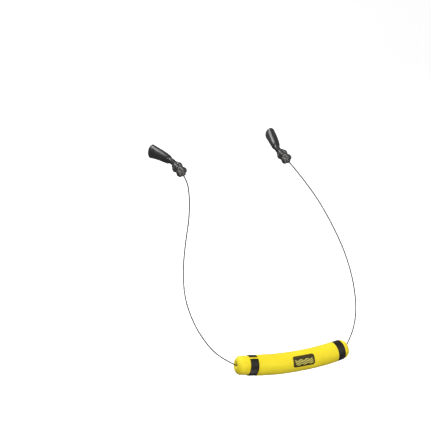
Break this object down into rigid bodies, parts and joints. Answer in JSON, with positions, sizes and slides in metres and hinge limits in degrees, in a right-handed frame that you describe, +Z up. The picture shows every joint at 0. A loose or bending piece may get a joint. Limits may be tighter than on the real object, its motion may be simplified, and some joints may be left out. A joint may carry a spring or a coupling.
{
  "type": "eyeglass retainer strap",
  "caption": "Springy coated-cable strap with a bent foam float; oval rubber grips slip over eyeglass temple tips to hold glasses around the head.",
  "frame": {"origin": "centre of the left temple grip's mouth", "axes": "+X from the left ear to the right ear, +Y forward to the lenses, +Z up"},
  "size_m": [0.1681, 0.1638, 0.1799],
  "materials": {
    "grip_rubber": "satin black moulded rubber",
    "neck_rubber": "satin black extruded rubber tube",
    "bead_rubber": "semi-gloss brown-black moulded rubber",
    "cable_coat": "black nylon coat over steel strands",
    "crimp_steel": "bare stainless crimp",
    "foam_yellow": "fine closed-cell foam, matte yellow",
    "liner_clear": "natural plastic tube",
    "band_rubber": "satin dark band",
    "badge_print": "dark printed film with plain wave lines"
  },
  "bodies": {
    "temple_grips": {"left_temple_grip": "grip_rubber", "right_temple_grip": "grip_rubber"},
    "strap": {"left_neck_tube": "neck_rubber", "right_neck_tube": "neck_rubber", "left_cable_crimp": "crimp_steel", "right_cable_crimp": "crimp_steel", "left_cable_span": "cable_coat", "right_cable_span": "cable_coat"},
    "left_bead": {"left_knot_bead": "bead_rubber"},
    "right_bead": {"right_knot_bead": "bead_rubber"},
    "float": {"float_foam": "foam_yellow", "float_liner": "liner_clear", "float_cable_run": "cable_coat", "float_badge": "badge_print"},
    "left_band": {"left_band": "band_rubber"},
    "right_band": {"right_band": "band_rubber"}
  },
  "joints": [
    {"name": "strap_swing", "type": "hinge", "parent": "temple_grips", "child": "strap", "pos_m": [0.00636, -0.02936, -0.00397], "axis": [0.9999, 0.0121, -0.0082], "range_deg": [-35, 35], "stiffness_Nm_per_rad": 0.02, "springref_deg": -32.4, "deforming": ["left_neck_tube", "right_neck_tube"]},
    {"name": "left_bead_turn", "type": "hinge", "parent": "strap", "child": "left_bead", "pos_m": [0.00636, -0.02936, -0.00397], "axis": [0.285, -0.7721, -0.568], "continuous": true},
    {"name": "right_bead_turn", "type": "hinge", "parent": "strap", "child": "right_bead", "pos_m": [0.11531, -0.02803, -0.00486], "axis": [0.276, -0.7761, -0.567], "continuous": true},
    {"name": "float_spin", "type": "hinge", "parent": "strap", "child": "float", "pos_m": [0.00622, -0.14785, -0.15625], "axis": [0.9992, -0.0284, -0.0266], "continuous": true},
    {"name": "left_band_turn", "type": "hinge", "parent": "float", "child": "left_band", "pos_m": [0.02034, -0.14974, -0.1584], "axis": [0.9847, -0.1157, -0.1307], "continuous": true},
    {"name": "right_band_turn", "type": "hinge", "parent": "float", "child": "right_band", "pos_m": [0.10546, -0.15172, -0.16013], "axis": [0.9935, 0.0698, 0.0904], "continuous": true}
  ]
}
